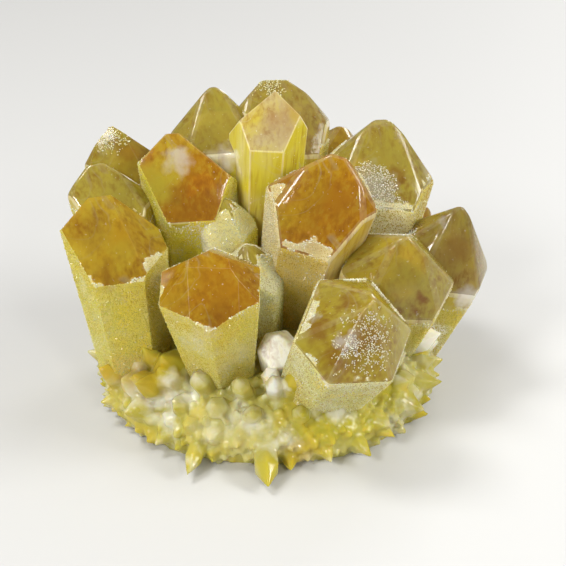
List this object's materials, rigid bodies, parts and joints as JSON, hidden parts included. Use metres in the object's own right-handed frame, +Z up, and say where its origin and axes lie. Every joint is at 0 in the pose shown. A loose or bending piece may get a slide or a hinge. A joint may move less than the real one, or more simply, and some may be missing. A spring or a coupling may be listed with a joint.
{
  "type": "quartz cluster",
  "caption": "Stout six-sided amber quartz crystals that fan out of one low mass of small points, with a flat underside.",
  "frame": {"origin": "on the flat underside, below the middle of the bounding box", "axes": "+Z up out of the underside; +X to the cluster's right seen from its front, which is -Y"},
  "size_m": [0.1042, 0.1006, 0.076],
  "materials": {
    "quartz": "glassy cap faces over sides crusted with fine sparkling druse"
  },
  "bodies": {
    "root": {"quartz_cluster": "quartz"}
  },
  "joints": []
}
